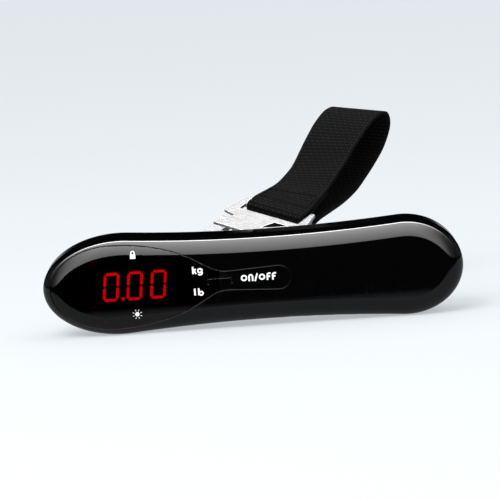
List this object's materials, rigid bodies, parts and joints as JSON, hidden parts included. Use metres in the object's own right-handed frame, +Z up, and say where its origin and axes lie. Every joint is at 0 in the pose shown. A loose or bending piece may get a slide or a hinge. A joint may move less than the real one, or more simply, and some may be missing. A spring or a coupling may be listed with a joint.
{
  "type": "digital luggage scale",
  "caption": "Handheld bone-shaped digital hanging scale: piano-black case with a red LED display and a rocking button, load cell inside, webbing loop on a swivel eye.",
  "frame": {"origin": "middle of the handle, on the parting plane of the two shells and on the swivel eye's axis", "axes": "+X along the handle away from the display end, the display faces -Y, +Z up; the strap pulls along +Y"},
  "size_m": [0.15, 0.1097, 0.0708],
  "materials": {
    "case_plastic": "piano black, polished",
    "lens_tint": "smoked, polished",
    "seal_rubber": "soft",
    "steel": "zinc plated",
    "bright_plate": "nickel plated, polished",
    "alloy": "machined",
    "nylon": "moulded",
    "board": "solder mask",
    "black_component": "moulded",
    "lit_red": "lit",
    "unlit_segment": "unlit diffuser",
    "indicator": "lit",
    "small_part": "ceramic",
    "gauge_film": "film under clear seal",
    "webbing": "woven nylon",
    "thread": "spun",
    "cell_sleeve": "printed sleeve, plain",
    "contact_plating": "nickel plated",
    "wire_sleeve": "PVC"
  },
  "bodies": {
    "case": {"front_shell": "case_plastic", "rear_shell": "case_plastic", "display_lens": "lens_tint", "lens_gasket": "seal_rubber", "case_screws": "steel", "pcb_screws": "steel", "main_pcb": "board", "led_display": "black_component", "segments_lit": "lit_red", "segments_off": "unlit_segment", "indicator_leds": "indicator", "tact_switch": "black_component", "control_chip": "black_component", "smd_parts": "small_part", "load_cell": "alloy", "strain_gauges": "gauge_film", "load_cell_plate": "steel", "load_cell_screws": "steel", "eye_bush": "nylon", "batteries": "cell_sleeve", "spring_contacts": "contact_plating", "plate_contacts": "contact_plating", "cell_wires": "wire_sleeve", "battery_wires": "wire_sleeve"},
    "swivel_eye": {"swivel_eye": "bright_plate", "eye_washer": "steel", "eye_nut": "steel"},
    "anchor_plate": {"anchor_plate": "bright_plate"},
    "strap_loop": {"webbing_strap": "webbing", "strap_stitches": "thread"},
    "hook_plate": {"hook_plate": "bright_plate"},
    "power_button": {"power_button": "case_plastic"},
    "tact_plunger": {"tact_plunger": "black_component"},
    "battery_cover": {"battery_cover": "case_plastic"}
  },
  "joints": [
    {"name": "eye_swivel", "type": "hinge", "parent": "case", "child": "swivel_eye", "pos_m": [0, 0.0125, 0], "axis": [0, 1, 0], "continuous": true},
    {"name": "ring_swing", "type": "hinge", "parent": "swivel_eye", "child": "anchor_plate", "pos_m": [0.00015, 0.02423, 0.00054], "axis": [0.7898, -0.5698, -0.2269], "range_deg": [-90, 35]},
    {"name": "loop_swing", "type": "hinge", "parent": "anchor_plate", "child": "strap_loop", "pos_m": [0.00481, 0.04523, 0.00984], "axis": [0.7898, -0.5698, -0.2269], "range_deg": [-45, 0]},
    {"name": "hook_release", "type": "hinge", "parent": "strap_loop", "child": "hook_plate", "pos_m": [0.01055, 0.05077, 0.01592], "axis": [-0.7898, 0.5698, 0.2269], "range_deg": [0, 75]},
    {"name": "button_press", "type": "hinge", "parent": "case", "child": "power_button", "pos_m": [-0.01, -0.0086, 0], "axis": [0, 0, 1], "range_deg": [0, 1.2]},
    {"name": "plunger_travel", "type": "slide", "parent": "case", "child": "tact_plunger", "axis": [0, 1, 0], "range_m": [0, 0.0008]},
    {"name": "battery_cover_release", "type": "slide", "parent": "case", "child": "battery_cover", "axis": [0, 1, 0], "range_m": [0, 0.009]}
  ],
  "couplings": [
    {"joint": "plunger_travel", "follows": "button_press", "m_per_rad": 0.014}
  ]
}
